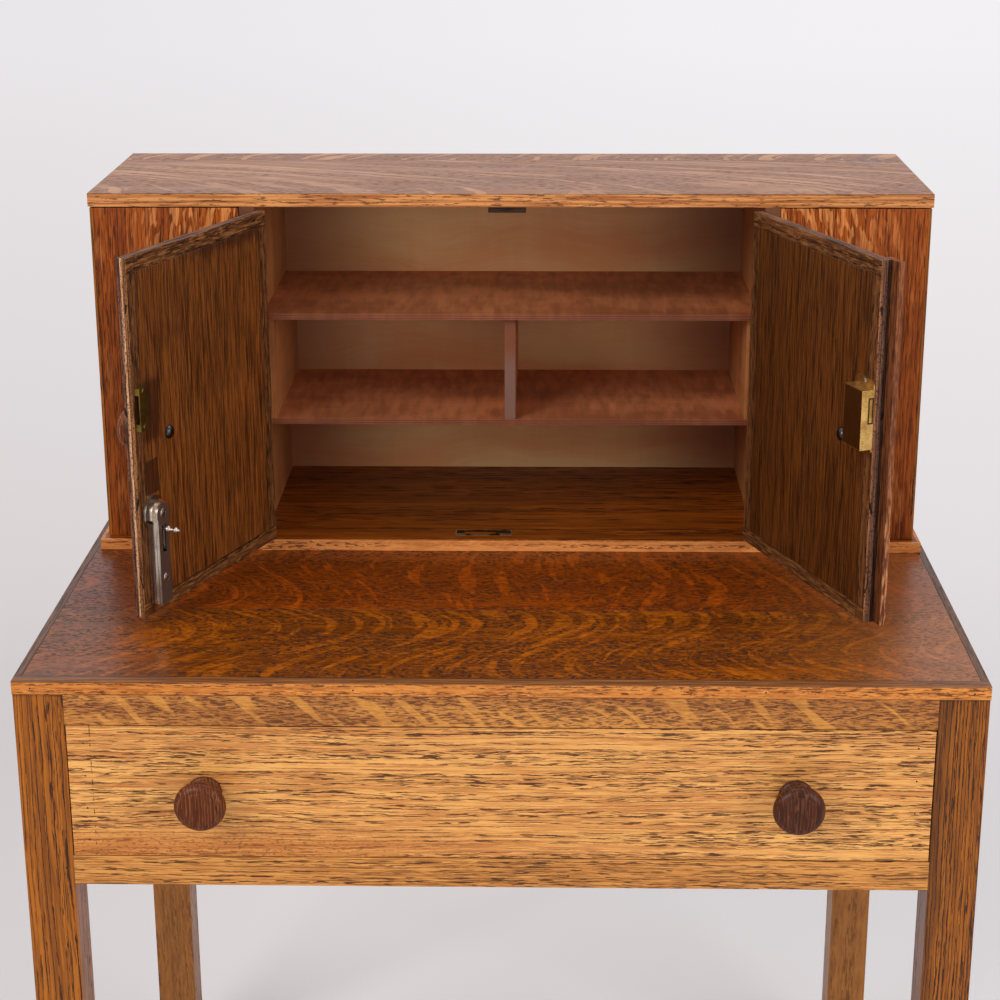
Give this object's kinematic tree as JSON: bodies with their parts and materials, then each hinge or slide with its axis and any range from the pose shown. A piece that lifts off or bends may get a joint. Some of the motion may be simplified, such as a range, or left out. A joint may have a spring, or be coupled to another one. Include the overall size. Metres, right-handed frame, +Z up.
{
  "type": "writing desk",
  "caption": "Free-standing oak writing desk: square legs, long drawer with turned knobs, and a raised cabinet whose hinged doors open on shelves and carry a lock and a sliding bolt",
  "frame": {"origin": "Centre of the overall footprint, at the floor", "axes": "+X to the desk's right as seen from the front, +Y to the back, +Z up"},
  "size_m": [0.85, 0.6424, 1.1138],
  "materials": {
    "oak_top": "satin",
    "oak_frame": "satin",
    "oak_light": "satin",
    "oak_red": "satin",
    "oak_dark": "satin",
    "oak_grey": "satin",
    "oak_floor": "satin",
    "oak_lipping": "satin",
    "inner_wood": "bare",
    "plywood": "satin",
    "knob_wood": "polished",
    "brass": "dull",
    "nickel": "dull",
    "iron": "dark"
  },
  "bodies": {
    "desk": {"tabletop_front_board": "oak_top", "tabletop_rear_board": "oak_top", "tabletop_lippings": "oak_lipping", "leg_front_left": "oak_frame", "leg_front_right": "oak_frame", "leg_rear_left": "oak_frame", "leg_rear_right": "oak_frame", "front_top_rail": "oak_frame", "front_bottom_rail": "oak_frame", "rear_apron": "oak_frame", "side_apron_left": "oak_frame", "side_apron_right": "oak_frame", "drawer_runners": "inner_wood", "drawer_kickers": "inner_wood", "drawer_stops": "inner_wood", "panel_pins": "iron", "cabinet_base_board": "oak_floor", "cabinet_base_lippings": "oak_lipping", "floor_keep": "nickel", "cabinet_end_left": "oak_red", "cabinet_end_right": "oak_red", "cabinet_front_panel_left": "oak_red", "cabinet_front_panel_right": "oak_red", "cabinet_partition_left": "oak_red", "cabinet_partition_right": "oak_red", "cabinet_corner_lippings": "oak_lipping", "cabinet_back": "plywood", "cabinet_top_board": "oak_grey", "cabinet_top_rear_strip": "oak_grey", "shelf_upper": "plywood", "shelf_lower": "plywood", "shelf_divider": "plywood", "shelf_cheeks": "oak_red", "door_stop_block": "oak_lipping", "hinge_frame_leaves": "iron"},
    "drawer": {"drawer_front": "oak_light", "drawer_side_left": "inner_wood", "drawer_side_right": "inner_wood", "drawer_back": "inner_wood", "drawer_bottom": "plywood", "drawer_knobs": "knob_wood", "drawer_knob_screws": "iron", "drawer_front_pins": "iron"},
    "left_door": {"door_left_panel": "oak_dark", "door_left_lippings": "oak_red", "door_left_hinge_leaves": "iron", "door_left_knob": "knob_wood", "door_left_knob_screw": "iron", "strike_plate": "brass", "bolt_case": "nickel"},
    "right_door": {"door_right_panel": "oak_dark", "door_right_lippings": "oak_red", "door_right_cover_strip": "oak_lipping", "door_right_hinge_leaves": "iron", "door_right_knob": "knob_wood", "door_right_knob_screw": "iron", "lock_case": "brass", "keyhole_plate": "brass"},
    "door_bolt": {"bolt_slide": "nickel"},
    "lock_bolt_body": {"lock_bolt": "brass"}
  },
  "joints": [
    {"name": "drawer_slide", "type": "slide", "parent": "desk", "child": "drawer", "axis": [0, -1, 0], "range_m": [0, 0.4]},
    {"name": "left_door_hinge", "type": "hinge", "parent": "desk", "child": "left_door", "pos_m": [-0.2454, 0.07145, 0.93], "axis": [0, 0, 1], "range_deg": [-50, 112.3]},
    {"name": "right_door_hinge", "type": "hinge", "parent": "desk", "child": "right_door", "pos_m": [0.2514, 0.07145, 0.93], "axis": [0, 0, 1], "range_deg": [-111.3, 50]},
    {"name": "door_bolt_slide", "type": "slide", "parent": "left_door", "child": "door_bolt", "axis": [0, 0, -1], "range_m": [0, 0.018]},
    {"name": "lock_bolt_slide", "type": "slide", "parent": "right_door", "child": "lock_bolt_body", "axis": [0.3633, -0.9317, 0], "range_m": [0, 0.0105]}
  ]
}
